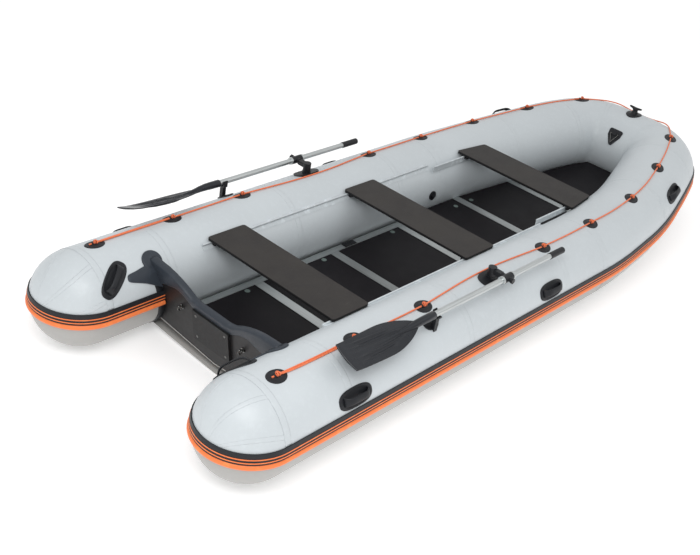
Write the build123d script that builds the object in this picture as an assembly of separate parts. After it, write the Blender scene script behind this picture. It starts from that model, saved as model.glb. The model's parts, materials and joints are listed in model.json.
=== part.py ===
"""Inflatable dinghy with a slatted floor, three bench seats and a pair of oars.

Millimetres.  +X points to the bow, +Y to port, +Z up.  The origin is the middle
of the boat's length and beam, on the ground that the tubes rest on.
"""
from build123d import *
import math
import os

# ---- overall ---------------------------------------------------------------------------------
LENGTH = 4562.0            # over the rub strake, stern to bow
TUBE_R = 239.0             # outer radius of every air tube
TUBE_HALF_SPAN = 591.0     # boat centreline to side tube centreline
TUBE_WALL = 4.0            # coated fabric with its inner seam tapes
FLOOR_Z = 138.0            # top face of the floor boards

# ---- tube centreline, as distances forward of the transom datum ------------------------------
STERN_DOME = -30.0         # centre of the domed stern ends
CHAMBER_END = 2450.0       # bulkhead between side and bow chambers
BOW_BEND = 2620.0          # where the side tubes start to close in
BOW_BACK = (814.0, 334.0)  # how far two later bends lie behind the bow tube
BOW_BEND_IN = (61.0, 189.0, 301.0)   # the bends' distances inside the side tubes' line
BOW_RISE = (21.0, 81.0, 94.0)   # sheer above the side tubes at the same three bends
BOW_CORNER_R = 262.0       # centreline radius of the bow corners
BEND_RADII = (2900.0, 2400.0, 2700.0)

# ---- rub strake ------------------------------------------------------------------------------
STRAKE_TOP = 12.0          # degrees above the tube's widest line
STRAKE_LOW = -0.5          # lower edge of the flat band, degrees
STRAKE_T = 6.0
STRIPE_W = 1.1             # width of each thin stripe, degrees
STRIPES = (5.8, 2.0)       # centres of the two thin stripes, degrees
STRIPE_OUT = 1.5
BEAD_R = 14.0
BEAD_AT = -4.2             # degrees
STRAKE_OUT = 13.0          # how far the bead stands out of the tube
STRAKE_TO_TRANSOM = 14.0   # the strake's inner end, forward of the cut-out's aft face

# ---- floor -----------------------------------------------------------------------------------
BOARD_T = 12.0
BOARD_GAP = 8.0            # board edge to tube
PROFILES = (852.0, 1428.0, 2003.0, 2602.0, 3142.0)
PROFILE_W = 57.0
PROFILE_FLANGE = 2.5
PROFILE_WEB = 5.0
SLIP = 0.4                 # clearance of boards in their slots
STRINGER_IN = TUBE_HALF_SPAN - 279.0   # inner edge of the side stringers
STRINGER_W = 42.0
STRINGER_X = (330.0, 1600.0, 2240.0)
BOW_BOARD_RISE = 7.0       # degrees
BOARD_CAP_R = 15.0
BOARD_CAP_X = (780.0, 1350.0, 1930.0, 2540.0, 2700.0)
KEEL_R = 46.0
KEEL_X = (640.0, 2860.0)
BOTTOM_T = 3.0
BOTTOM_EDGE = 121.0        # bottom's seam, inboard of the tube's centreline
BOTTOM_LOW = 3.0           # bottom's middle over the ground

# ---- transom ---------------------------------------------------------------------------------
TRANSOM_T = 30.0
TRANSOM_LEAN = 10.0        # degrees, top edge aft
TRANSOM_TOP = 340.0        # height of the engine cut-out
CUTOUT_HALF = 120.0
TRANSOM_WINGS = ((359.0, 54.0), (259.0, 81.0), (150.0, 86.0))  # inboard of the tube's line, rise
TRANSOM_LOW = (50.0, 98.0)  # height of the lower edge at the keel and beside the tubes
TOWING_EYES = ((214.0, -68.0), (-214.0, -68.0))   # across, and up from the cut-out
CAP_WALL = 6.0
CAP_SKIRT = 30.0
TRANSOM_AFT = 268.0        # aft face at the cut-out height, from the datum
MOTOR_PAD = (254.0, 175.0, 15.0)
INNER_PAD = (260.0, 150.0, 6.0)
HOLDER_SPOT = (265.0, 129.0)   # station and angle of the holder's disc
HOLDER_R = 53.0
HOLDER_T = 9.0
HOLDER_FIN = ((30, 44), (-20, 49), (-175, -28), (-175, -50), (-93, -103), (-27, -137),
              (20, -137), (45, -28))
PAD_DROP = 26.0            # pad top below the cut-out, clear of the cap's skirt
PAD_BOLT_R = 4.0
PAD_BOLT_IN = 26.0
PAD_BOLT_HEAD = (8.0, 4.0) # radius and depth, sunk flush with the pad
BOLT_SLIP = 0.3

# ---- seats -----------------------------------------------------------------------------------
SEAT = (247.0, 16.0)       # width and thickness
SEAT_INSET = 151.0         # a seat's end, inboard of the tube's line
SEAT_TOP = 441.0
SEAT_AFT_EDGES = (606.0, 1606.0, 2636.0)
TRACK_ANGLE = 134.0        # degrees round the tube from its outer side
TRACK_LIFT = 10.0          # bead centre off the tube
TRACK_BEAD_R = 5.0
TRACK_X = (560.0, 2330.0)
SLIDER = (44.0, 22.0)      # width and height of a seat slider
SLIDER_SLIP = 0.6
BOW_SEAT_RAIL_IN = 38.0    # bow seat rails, inboard of the long tracks
SEAT_END_GAP = 1.0

# ---- oars ------------------------------------------------------------------------------------
OARLOCK_X = 1515.0
OARLOCK_ANGLE = 74.0       # degrees round the tube from its outer side
OAR_Y = TUBE_HALF_SPAN + 156.0
OAR_Z = 514.0
SHAFT_R = 15.0
OAR_FORE = 500.0           # oarlock to the end of the grip
OAR_AFT = 600.0            # oarlock to the blade's socket
GRIP = (125.0, 17.5)
BLADE = (580.0, 148.0, 9.0)
BLADE_ROLL = 22.0          # degrees, outboard edge down
PIN_R = 7.0
PIN_SLIP = 0.08
PIN_FOOT = 7.0             # end of the pin above the tube, clear of the hole's sloping bottom
SLEEVE_R = 21.0
SLEEVE_L = 70.0
OARLOCK_FOOT = (165.0, 88.0, 6.0)
CLIP_BACK = 545.0          # oar clip, aft of the oarlock

# ---- lifeline --------------------------------------------------------------------------------
EYES = ((67.0, 82.0), (532.0, 81.5), (1008.0, 79.5), (2016.0, 79.5), (2502.0, 80.0),
        (3002.0, 77.0), (3489.0, 79.0), (3900.0, 84.0))
EYE_BASE = (52.0, 40.0)
EYE_T = 3.0
EYE_ARCH = (6.0, 4.0)      # opening radius and bar thickness of an eye
ROPE_R = 4.0
ROPE_LIFT = 7.0            # rope centre off the tube
ROPE_PAST_OARLOCK = (89.0, 4.4)   # angle and lift of the rope beside the oarlock
ROPE_CORNER_IN = 376.0     # the rope's corner at the bow, inboard of the side tubes' line

# ---- fittings on the tubes -------------------------------------------------------------------
HANDLE = (205.0, 92.0, 4.0)
HANDLE_GRIP = (150.0, 36.0, 9.0)
HANDLE_GAP = 24.0
HANDLE_SPOTS = ((383.0, 25.0, 0.0), (1900.0, 25.0, 0.0), (30.0, 137.0, 42.0))   # station, angle, turn
BOW_HANDLE = (3414.0, 36.0, 0.0)
BOW_RING = (28.0, 62.0, 3.0, 11.0, 14.0)   # half width, depth, bar radius, lift and rise of its bar
VALVE_R = 29.0
VALVES = (("port_side", 2348.0, 1), ("starboard_side", 2348.0, -1), ("bow", 2880.0, -1))

STRAKE_REACH = (TUBE_R + STRAKE_OUT - BEAD_R) * math.cos(math.radians(BEAD_AT)) + BEAD_R
DATUM = -LENGTH / 2 + STRAKE_REACH - STERN_DOME
BOW_X = LENGTH / 2 - STRAKE_REACH

UP = (Align.CENTER, Align.CENTER, Align.MIN)
DOWN = (Align.CENTER, Align.CENTER, Align.MAX)
FORE = (Align.MIN, Align.CENTER, Align.CENTER)
CORNER = (Align.MIN, Align.MIN, Align.CENTER)
BESIDE = (Align.CENTER, Align.MAX, Align.MIN)
PARTS = {}


def station(distance):
    """X of a place given as its distance forward of the transom datum."""
    return DATUM + distance


def add(name, shape):
    PARTS[name] = shape


def mirrored(shape):
    return mirror(shape, about=Plane.XZ)


def both(name, shape):
    """The same moving piece on both sides of the boat, each in its own node."""
    add("port_" + name, shape)
    add("starboard_" + name, mirrored(shape))


def pair(shape):
    return Compound([shape, mirrored(shape)])


def group(shapes):
    return Compound([solid for shape in shapes for solid in shape.solids()])


# ---- the line of the tubes -------------------------------------------------------------------
def spine_points():
    """Port half of the tube centreline, from the bulkhead to the bow corner."""
    points = [(station(CHAMBER_END), TUBE_HALF_SPAN, TUBE_R), (station(BOW_BEND), TUBE_HALF_SPAN, TUBE_R)]
    backs = BOW_BACK + (0.0,)
    for back, inset, rise in zip(backs, BOW_BEND_IN, BOW_RISE):
        points.append((BOW_X - back, TUBE_HALF_SPAN - inset, TUBE_R + rise))
    return points


def bow_path():
    port = spine_points()
    starboard = [(x, -y, z) for x, y, z in reversed(port)]
    radii = list(BEND_RADII) + [BOW_CORNER_R]
    return FilletPolyline(*port, *starboard, radius=radii + radii[::-1])


BOW_PATH = bow_path()


def spine(x):
    """Centre (y, z) and unit heading of the port tube at x."""
    if x <= station(CHAMBER_END):
        return TUBE_HALF_SPAN, TUBE_R, Vector(1, 0, 0)
    low, high = 0.0, 0.5
    for _ in range(30):
        middle = (low + high) / 2
        if BOW_PATH.position_at(middle).X < x:
            low = middle
        else:
            high = middle
    point = BOW_PATH.position_at(low)
    return point.Y, point.Z, BOW_PATH.tangent_at(low)


def flank(x, z):
    """Y of the tube's inner face at height z."""
    y, centre_z, heading = spine(x)
    half = math.sqrt(max(TUBE_R ** 2 - (z - centre_z) ** 2, 0))
    return y - half / heading.X


def on_tube(x, angle, turn=0.0, lift=0.0):
    """Plane on the port tube: Z out of the tube, X along the boat, turned about Z."""
    y, z, heading = spine(x)
    a = math.radians(angle)
    normal = Vector(0, math.cos(a), math.sin(a))
    normal = (normal - heading * normal.dot(heading)).normalized()
    origin = Vector(x, y, z) + normal * (TUBE_R + lift)
    return Plane(origin=origin, x_dir=heading, z_dir=normal).rotated((0, 0, turn))


def tube_end(radius, x_end):
    """Side tube of a given radius: a domed stern end and a straight run to x_end."""
    dome = station(STERN_DOME)
    side = Line((dome, radius), (x_end, radius))
    arc = CenterArc((dome, 0), radius, 90, 90)
    close = Polyline((dome - radius, 0), (x_end, 0), (x_end, radius))
    profile = make_face([arc, side, close])
    return Pos(0, TUBE_HALF_SPAN, TUBE_R) * revolve(profile, Axis.X)


def ring_section(plane, outer, inner):
    return plane * (Circle(outer) - Circle(inner))


def chambers():
    end = station(CHAMBER_END)
    side = tube_end(TUBE_R, end) - tube_end(TUBE_R - TUBE_WALL, end - TUBE_WALL)
    both("air_chamber", side)
    path = BOW_PATH
    start = Plane(origin=path @ 0, z_dir=path % 0)
    shell = sweep(ring_section(start, TUBE_R, TUBE_R - TUBE_WALL), path)
    disc = Cylinder(TUBE_R - TUBE_WALL / 2, TUBE_WALL, align=UP)
    bulkhead = Pos(end, TUBE_HALF_SPAN, TUBE_R) * Rot(0, 90, 0) * disc
    add("bow_air_chamber", shell + bulkhead + mirrored(bulkhead))


# ---- rub strake ------------------------------------------------------------------------------
def strake_sector(low, high, inner, outer):
    """Section of a strip on the tube's outer side, between two angles in degrees."""
    def point(radius, angle):
        a = math.radians(angle)
        return radius * math.cos(a), radius * math.sin(a)
    mid = (low + high) / 2
    outline = [ThreePointArc(point(outer, low), point(outer, mid), point(outer, high)),
               Line(point(outer, high), point(inner, high)),
               ThreePointArc(point(inner, high), point(inner, mid), point(inner, low)),
               Line(point(inner, low), point(outer, low))]
    return make_face(outline)


def bead_section():
    a = math.radians(BEAD_AT)
    reach = TUBE_R + STRAKE_OUT - BEAD_R
    return Pos(reach * math.cos(a), reach * math.sin(a)) * Circle(BEAD_R) - Circle(TUBE_R)


def along_hull(section):
    """A section carried forward from the transom's inner side, round the stern, side and bow."""
    inside_end = station(TRANSOM_AFT) + STRAKE_TO_TRANSOM
    dome = station(STERN_DOME)
    outer = Plane(origin=(dome, TUBE_HALF_SPAN, TUBE_R), x_dir=(0, 1, 0), z_dir=(1, 0, 0))
    inner = Plane(origin=(dome, TUBE_HALF_SPAN, TUBE_R), x_dir=(0, -1, 0), z_dir=(-1, 0, 0))
    straight = extrude(outer * section, station(CHAMBER_END) - dome)
    inside = extrude(inner * section, dome - inside_end)
    axis = Axis((dome, TUBE_HALF_SPAN, TUBE_R), (0, 0, 1))
    round_end = revolve(outer * section, axis, 180)
    half = straight + inside + round_end
    start = Plane(origin=BOW_PATH @ 0, x_dir=(0, 1, 0), z_dir=(1, 0, 0))
    bow = sweep(start * section, BOW_PATH)
    return half, bow


def rub_strake():
    band = strake_sector(STRAKE_LOW, STRAKE_TOP, TUBE_R, TUBE_R + STRAKE_T)
    sections = {"rub_band": band, "rub_bead": bead_section()}
    for name, section in sections.items():
        half, bow = along_hull(section)
        add(name, group([half, mirrored(half), bow]))
    band_r = TUBE_R + STRAKE_T
    stripes = []
    for centre in STRIPES:
        low, high = centre - STRIPE_W / 2, centre + STRIPE_W / 2
        section = strake_sector(low, high, band_r, band_r + STRIPE_OUT)
        half, bow = along_hull(section)
        stripes += [half, mirrored(half), bow]
    add("rub_stripes", group(stripes))


# ---- floor -----------------------------------------------------------------------------------
def board_outline(x0, x1, half0, half1):
    return make_face(Polyline((x0, -half0), (x1, -half1), (x1, half1), (x0, half0), close=True))


def transom_plane():
    """Aft face of the transom: X to port, Y up the board, Z aft."""
    lean = math.radians(TRANSOM_LEAN)
    return Plane(origin=(station(TRANSOM_AFT), 0, TRANSOM_TOP), x_dir=(0, -1, 0),
                 z_dir=(-math.cos(lean), 0, -math.sin(lean)))


def transom_x(z, depth=0.0):
    """X of the transom at height z, depth forward of its aft face."""
    lean = math.radians(TRANSOM_LEAN)
    return station(TRANSOM_AFT) + (TRANSOM_TOP - z) * math.tan(lean) + depth / math.cos(lean)


def floor_boards():
    underside = FLOOR_Z - BOARD_T
    slot_half = PROFILE_WEB / 2 + SLIP
    starts = [transom_x(underside, TRANSOM_T) + 6]
    starts += [station(x) + PROFILE_W / 2 + slot_half for x in PROFILES]
    stringer_end = station(STRINGER_X[-1])
    for i, x in enumerate(PROFILES):
        x0, x1 = starts[i], station(x) + PROFILE_W / 2 - slot_half
        if x1 < stringer_end + PROFILE_W:
            half0 = half1 = STRINGER_IN + 10
        else:
            half0, half1 = (flank(e, underside) - BOARD_GAP for e in (x0, x1))
        board = extrude(board_outline(x0, x1, half0, half1), BOARD_T)
        if x0 < stringer_end < x1:
            notch = Pos(x0 - 1, STRINGER_IN + 10, -1) * Box(
                stringer_end - x0 + 3, 200, BOARD_T + 2, align=(Align.MIN,) * 3)
            board = board - notch - mirrored(notch)
        add(f"floor_board_{i + 1}", Pos(0, 0, underside) * board)
    bow_board(station(PROFILES[-1]) + PROFILE_W + 3, underside)


def bow_board(x0, underside):
    """Foremost board, rising towards the bow and trimmed to the tubes."""
    rise = math.tan(math.radians(BOW_BOARD_RISE))
    tip = BOW_X - TUBE_R * 0.93
    stations = [x0 + (tip - x0) * i / 5 for i in range(6)]
    halves = []
    for x in stations:
        z = underside + (x - x0) * rise
        halves.append(min(flank(min(x, BOW_X - 90), z), flank(x0, z)) - BOARD_GAP * 1.5)
    halves[-1] = halves[-2] - 55
    edge = list(zip(stations, halves))
    outline = Polyline(*edge, *[(x, -h) for x, h in reversed(edge)], close=True)
    flat = Pos(-x0, 0, 0) * extrude(make_face(outline), BOARD_T)
    add("floor_board_6", Pos(x0, 0, underside) * Rot(0, -BOW_BOARD_RISE, 0) * flat)


def h_profile(x, half):
    """Aluminium joiner: two flanges and a web that the boards slide into."""
    flange = Box(PROFILE_W, 2 * half, PROFILE_FLANGE)
    height = BOARD_T + 2 * SLIP
    web = Box(PROFILE_WEB, 2 * half, height + 2)
    offset = (height + PROFILE_FLANGE) / 2
    shape = web + Pos(0, 0, offset) * flange + Pos(0, 0, -offset) * flange
    return Pos(x + PROFILE_W / 2, 0, FLOOR_Z - BOARD_T / 2) * shape


def floor_profiles():
    joiners = []
    for distance in PROFILES:
        x = station(distance)
        beside_tube = flank(x + PROFILE_W, FLOOR_Z - 20) - BOARD_GAP
        inside_stringers = x < station(STRINGER_X[-1])
        joiners.append(h_profile(x, STRINGER_IN - 1 if inside_stringers else beside_tube))
    add("floor_profiles", group(joiners))


def stringer(x0, x1):
    """Side channel that holds the ends of the boards."""
    height = BOARD_T + 2 * SLIP + 2 * PROFILE_FLANGE
    bar = Box(x1 - x0, STRINGER_W, height, align=CORNER)
    slot = Pos(-1, -1, 0) * Box(x1 - x0 + 2, 12, BOARD_T + 2 * SLIP, align=CORNER)
    return Pos(x0, STRINGER_IN, FLOOR_Z - BOARD_T / 2) * (bar - slot)


def stringers():
    aft, joint, fore = (station(x) for x in STRINGER_X)
    aft = max(aft, transom_x(FLOOR_Z - BOARD_T, TRANSOM_T) + 14)
    bars = [stringer(aft, joint - 1), stringer(joint + 1, fore)]
    add("stringers", group([pair(bar) for bar in bars]))
    top = FLOOR_Z + SLIP + PROFILE_FLANGE
    clip = Pos(joint, STRINGER_IN + STRINGER_W / 2, top) * Box(90, STRINGER_W - 8, 5, align=UP)
    add("stringer_clips", pair(fillet(clip.edges().group_by(Axis.Z)[-1], 2)))


def board_caps():
    """Round caps over the bolts that hold the boards near the side edge."""
    caps = []
    for x in BOARD_CAP_X:
        at = Pos(station(x), STRINGER_IN - 22, FLOOR_Z)
        cap = Cylinder(BOARD_CAP_R, 3, align=UP)
        cap = fillet(cap.edges().group_by(Axis.Z)[-1], 1.5)
        caps.append(at * cap)
    add("board_caps", group([pair(c) for c in caps]))


def capsule(radius, x0, x1):
    body = Pos(x0, 0, 0) * Rot(0, 90, 0) * Cylinder(radius, x1 - x0, align=UP)
    return body + Pos(x0, 0, 0) * Sphere(radius) + Pos(x1, 0, 0) * Sphere(radius)


def bottom():
    """Shallow V of coated fabric between the tubes, and the inflated keel above it."""
    edge_z = math.sqrt(TUBE_R ** 2 - BOTTOM_EDGE ** 2)
    aft = transom_x(TRANSOM_LOW[0]) - 8
    stations = [aft, station(BOW_BEND), spine_points()[2][0], spine_points()[3][0] - 100, BOW_X - 140]
    bow_low = TUBE_R + BOW_RISE[-1] - edge_z - 26
    sections = []
    for x in stations:
        y, z, _ = spine(min(x, BOW_X - 60))
        half, side_z = y - BOTTOM_EDGE, z - edge_z
        share = max(0, (x - stations[1]) / (stations[-1] - stations[1])) ** 2
        low = BOTTOM_LOW + share * (bow_low - BOTTOM_LOW)
        points = [(-half, side_z), (0, low), (half, side_z), (half, side_z + BOTTOM_T),
                  (0, low + BOTTOM_T), (-half, side_z + BOTTOM_T)]
        plane = Plane(origin=(x, 0, 0), x_dir=(0, 1, 0), z_dir=(1, 0, 0))
        sections.append(plane * make_face(Polyline(*points, close=True)))
    add("bottom_skin", loft(sections, ruled=True))
    x0, x1 = (station(x) for x in KEEL_X)
    keel = capsule(KEEL_R, x0, x1) - capsule(KEEL_R - TUBE_WALL / 2, x0, x1)
    floor_under = FLOOR_Z - BOARD_T - PROFILE_FLANGE - SLIP
    keel_z = (floor_under + BOTTOM_LOW + BOTTOM_T) / 2
    add("inflatable_keel", Pos(0, 0, keel_z) * keel)


# ---- transom ---------------------------------------------------------------------------------
def transom_outline(grow_top=0.0):
    """Top edge points of the transom in its own plane, port to starboard."""
    slope = math.cos(math.radians(TRANSOM_LEAN))
    wings = [(CUTOUT_HALF, 0.0)] + [(TUBE_HALF_SPAN - inset, rise) for inset, rise in TRANSOM_WINGS]
    half = [(y, rise / slope + grow_top) for y, rise in reversed(wings)]
    return half + [(-y, z) for y, z in reversed(half)]


def side_tube(clearance=0.0):
    """Solid core of the port side tube, to trim what is glued to it or slides past it."""
    return Pos(station(1400), TUBE_HALF_SPAN, TUBE_R) * Rot(0, 90, 0) * Cylinder(TUBE_R + clearance, 4000)


def side_tubes():
    core = side_tube()
    return core + mirrored(core)


def transom():
    plane = transom_plane()
    slope = 1 / math.cos(math.radians(TRANSOM_LEAN))
    low_mid, low_side = ((z - TRANSOM_TOP) * slope for z in TRANSOM_LOW)
    wide = TUBE_HALF_SPAN - TRANSOM_WINGS[-1][0]
    low = [(wide, low_side), (0, low_mid), (-wide, low_side)]
    face = make_face(Polyline(*transom_outline(), *reversed(low), close=True))
    board = extrude(plane * face, -TRANSOM_T) - side_tubes()
    holes = pad_bolt_spots()
    drill = group([plane * Pos(x, y, 0) * Cylinder(PAD_BOLT_R + BOLT_SLIP, 160) for x, y in holes])
    eye_drill = group([plane * Pos(x, y, 0) * Cylinder(4.3, 160) for x, y in TOWING_EYES])
    add("transom_board", board - drill - eye_drill)

    top, under = (transom_outline(grow) for grow in (CAP_WALL, CAP_WALL - CAP_SKIRT))
    strip = make_face(Polyline(*top, *reversed(under), close=True))
    cap = extrude(plane.offset(CAP_WALL) * strip, -(TRANSOM_T + 2 * CAP_WALL))
    add("transom_cap", cap - board - side_tubes())
    seam = make_face(Polyline(*low, *[(x, y - 5) for x, y in reversed(low)], close=True))
    add("transom_seam_strip", extrude(plane.offset(2) * seam, -(TRANSOM_T + 4)) - side_tubes())
    engine_pads(plane, holes, drill)
    towing_eyes(plane)
    holders()


def engine_pads(plane, holes, drill):
    """Plates that the engine's clamps grip, aft and forward of the board, and their bolts."""
    pad_w, pad_h, pad_t = MOTOR_PAD
    pad = plane * Pos(0, -PAD_DROP - pad_h / 2, 0) * Box(pad_w, pad_h, pad_t, align=UP)
    pad = chamfer(pad.edges().filter_by(GeomType.LINE).group_by(SortBy.LENGTH)[0], 2)
    head_r, head_t = PAD_BOLT_HEAD
    sinks = group([plane * Pos(x, y, pad_t) * Cylinder(head_r + BOLT_SLIP, 2 * head_t) for x, y in holes])
    add("motor_pad", pad - drill - sinks)
    in_w, in_h, in_t = INNER_PAD
    inner = plane * Pos(0, -PAD_DROP - 20 - in_h / 2, -TRANSOM_T) * Box(in_w, in_h, in_t, align=DOWN)
    add("inner_pad", inner - drill)
    reach = pad_t + TRANSOM_T + in_t
    bolts = []
    for x, y in holes:
        shank = Pos(0, 0, pad_t - 1) * Cylinder(PAD_BOLT_R, reach + 8, align=DOWN)
        head = Pos(0, 0, pad_t) * Cylinder(head_r, head_t, align=DOWN)
        head = fillet(head.edges().group_by(Axis.Z)[-1], 2)
        bolts.append(plane * Pos(x, y, 0) * (shank + head + nut(pad_t - reach)))
    add("motor_pad_bolts", group(bolts))


def nut(z):
    return Pos(0, 0, z) * extrude(RegularPolygon(7.5, 6), -6)


def towing_eyes(plane):
    eyes = []
    for x, y in TOWING_EYES:
        ring = Pos(0, 0, 18) * Rot(0, 90, 0) * Torus(11, 3.5)
        flange = Cylinder(13, 4, align=UP)
        shank = Cylinder(4, TRANSOM_T + 8, align=DOWN)
        eyes.append(plane * Pos(x, y, 0) * (ring + flange + shank + nut(-TRANSOM_T)))
    add("towing_eyes", group(eyes))


def pad_bolt_spots():
    pad_w, pad_h, _ = MOTOR_PAD
    y0 = -PAD_DROP - PAD_BOLT_IN
    y1 = -PAD_DROP - 20 - INNER_PAD[1] + PAD_BOLT_IN - 8
    half = pad_w / 2 - PAD_BOLT_IN
    return [(half, y0), (-half, y0), (half, y1), (-half, y1)]


def holders():
    """Moulded holders that wrap the tube beside each end of the transom."""
    station_, angle = HOLDER_SPOT
    shell = Pos(station(200), TUBE_HALF_SPAN, TUBE_R) * Rot(0, 90, 0) * (
        Cylinder(TUBE_R + HOLDER_T, 700) - Cylinder(TUBE_R, 702))
    spot = on_tube(station(station_), angle)
    outline = Circle(HOLDER_R) + make_face(Polyline(*HOLDER_FIN, close=True))
    holder = shell & extrude(spot * outline, 60, both=True)
    slot = CAP_WALL + 0.3
    board_space = extrude(transom_plane().offset(slot) * Rectangle(1100, 900), -(TRANSOM_T + 2 * slot))
    inner_half = extrude(spot * (Pos(0, -90) * Rectangle(500, 120)), 200, both=True)
    add("transom_holders", pair(holder - (board_space & inner_half)))


# ---- seats -----------------------------------------------------------------------------------
def track_bead_centre():
    a = math.radians(TRACK_ANGLE)
    reach = TUBE_R + TRACK_LIFT
    return TUBE_HALF_SPAN + reach * math.cos(a), TUBE_R + reach * math.sin(a)


def seat_track():
    """Keder strip on the tube: a base, a web and a round bead."""
    x0, x1 = (station(x) for x in TRACK_X)
    plane = Plane(origin=(x0, TUBE_HALF_SPAN, TUBE_R), x_dir=(0, 1, 0), z_dir=(1, 0, 0))
    base = strake_sector(TRACK_ANGLE - 3, TRACK_ANGLE + 7, TUBE_R, TUBE_R + 2.5)
    web = Rot(0, 0, TRACK_ANGLE) * Pos(TUBE_R + TRACK_LIFT / 2 + 1, 0) * Rectangle(TRACK_LIFT - 2, 3)
    a = math.radians(TRACK_ANGLE)
    reach = TUBE_R + TRACK_LIFT
    bead = Pos(reach * math.cos(a), reach * math.sin(a)) * Circle(TRACK_BEAD_R)
    return extrude(plane * (base + web + bead), x1 - x0)


def bow_seat_rail():
    """Straight rail for the bow seat, on a fin that stands on the tube."""
    x1 = station(SEAT_AFT_EDGES[2]) + SEAT[0]
    x0 = station(TRACK_X[1]) + 20
    y, z = track_bead_centre()
    y -= BOW_SEAT_RAIL_IN
    bead = Pos(x0, y, z) * Rot(0, 90, 0) * Cylinder(TRACK_BEAD_R, x1 - x0, align=UP)
    fin = Pos(x0, y, z) * Box(x1 - x0, 3, 34, align=(Align.MIN, Align.CENTER, Align.MAX))
    bent_y, bent_z, heading = spine(x1)
    bent = Plane(origin=(x1, bent_y, bent_z), z_dir=heading) * Cylinder(TUBE_R + 0.5, 1200)
    fin = (fin - bent - side_tube(0.5)).solids().sort_by(Axis.Z)[-1]
    return bead + fin


def seat_tracks():
    add("seat_tracks", group([pair(seat_track()), pair(bow_seat_rail())]))


def seat_plank(x, half_aft, half_fore):
    width, thick = SEAT
    face = board_outline(x, x + width, half_aft, half_fore)
    plank = Pos(0, 0, SEAT_TOP - thick) * extrude(face, thick)
    plank = fillet(plank.edges().filter_by(Axis.Z), 16)
    flat_edges = plank.edges().group_by(Axis.Z)
    return fillet(flat_edges[-1] + flat_edges[0], 3)


def seats():
    width, thick = SEAT
    half_length = TUBE_HALF_SPAN - SEAT_INSET
    y, z = track_bead_centre()
    under = SEAT_TOP - thick
    for name, aft, inboard in zip(("aft", "middle", "bow"), SEAT_AFT_EDGES, (0, 0, BOW_SEAT_RAIL_IN)):
        x0 = station(aft)
        halves = [min(half_length, flank(x, under) - SEAT_END_GAP) for x in (x0, x0 + width)]
        add(f"{name}_seat", seat_plank(x0, *halves))
        x, y_bead = x0 + width / 2, y - inboard
        block = Pos(x, y_bead, under) * Box(width - 30, SLIDER[0] - inboard / 4, SLIDER[1], align=DOWN)
        groove = Pos(x, y_bead, z) * Rot(0, 90, 0) * Cylinder(TRACK_BEAD_R + SLIDER_SLIP, width)
        slot_turn = 90 if inboard else TRACK_ANGLE
        slot = Pos(x, y_bead, z) * Rot(180 + slot_turn, 0, 0) * Box(
            width, 60, 3 + 2 * SLIDER_SLIP, align=(Align.CENTER, Align.MIN, Align.CENTER))
        block = block - groove - slot - side_tube(4.5)
        if inboard:
            bent_y, bent_z, heading = spine(x0 + width)
            bow_tube = Plane(origin=(x0 + width, bent_y, bent_z), z_dir=heading)
            block = block - bow_tube * Cylinder(TUBE_R + 1.5, 1200)
        add(f"{name}_seat_sliders", pair(block))


# ---- oars and oarlocks -----------------------------------------------------------------------
def pin_spot():
    spot = on_tube(station(OARLOCK_X), OARLOCK_ANGLE)
    return spot.origin


def oarlock():
    x, y, z = pin_spot()
    long, wide, thick = OARLOCK_FOOT
    foot = on_tube(station(OARLOCK_X), OARLOCK_ANGLE) * extrude(SlotOverall(long, wide), thick)
    skirt = on_tube(station(OARLOCK_X), OARLOCK_ANGLE) * extrude(SlotOverall(long, wide), -12)
    boss_top = z + 15
    boss = Pos(x, y, z - 10) * Cylinder(24, boss_top - z + 10, align=UP)
    hole = Pos(x, y, z - 20) * Cylinder(PIN_R + PIN_SLIP, 60, align=UP)
    both("oarlock_base", foot + skirt + boss - side_tube() - (hole - side_tube(3)))
    pin = Pos(x, y, z + PIN_FOOT) * Cylinder(PIN_R, OAR_Z - z - PIN_FOOT, align=UP)
    block = Pos(x, y, boss_top + 0.4) * Cylinder(22, OAR_Z + 18 - boss_top, align=UP)
    face_y = OAR_Y - SLEEVE_R - 10
    arm = Pos(x, y, OAR_Z) * Box(30, face_y - 0.4 - y, 26, align=(Align.CENTER, Align.MIN, Align.CENTER))
    outward = Rot(-90, 0, 0)
    pivot = Pos(x, face_y - 1, OAR_Z) * outward * Cylinder(6, 9, align=UP)
    both("oarlock_swivel", block + arm + pin + pivot)
    cheek = Pos(x, face_y, OAR_Z) * outward * Cylinder(16, 16, align=UP)
    barrel = Pos(x, OAR_Y, OAR_Z) * Rot(0, 90, 0) * Cylinder(SLEEVE_R, SLEEVE_L)
    bore = Pos(x, OAR_Y, OAR_Z) * Rot(0, 90, 0) * Cylinder(SHAFT_R + PIN_SLIP * 4, SLEEVE_L + 2)
    pivot_hole = Pos(x, face_y - 2, OAR_Z) * outward * Cylinder(6 + PIN_SLIP, 10.5, align=UP)
    knob_y = OAR_Y + SLEEVE_R + 6
    boss = Pos(x, knob_y - 12, OAR_Z) * outward * Cylinder(11, 12, align=UP)
    screw_hole = Pos(x, OAR_Y, OAR_Z) * outward * Cylinder(5 + PIN_SLIP, 60, align=UP)
    both("oarlock_sleeve", barrel + cheek + boss - bore - pivot_hole - screw_hole)
    knob = Pos(x, knob_y + 0.4, OAR_Z) * outward * Cylinder(14, 13, align=UP)
    for i in range(6):
        flute = outward * Rot(0, 0, 60 * i) * Pos(16.5, 0, 0) * Cylinder(4, 80)
        knob = knob - Pos(x, knob_y, OAR_Z) * flute
    screw = Pos(x, OAR_Y + SHAFT_R + 1, OAR_Z) * outward * Cylinder(5, SLEEVE_R + 7 - SHAFT_R, align=UP)
    both("oarlock_knob", knob + screw)


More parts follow.
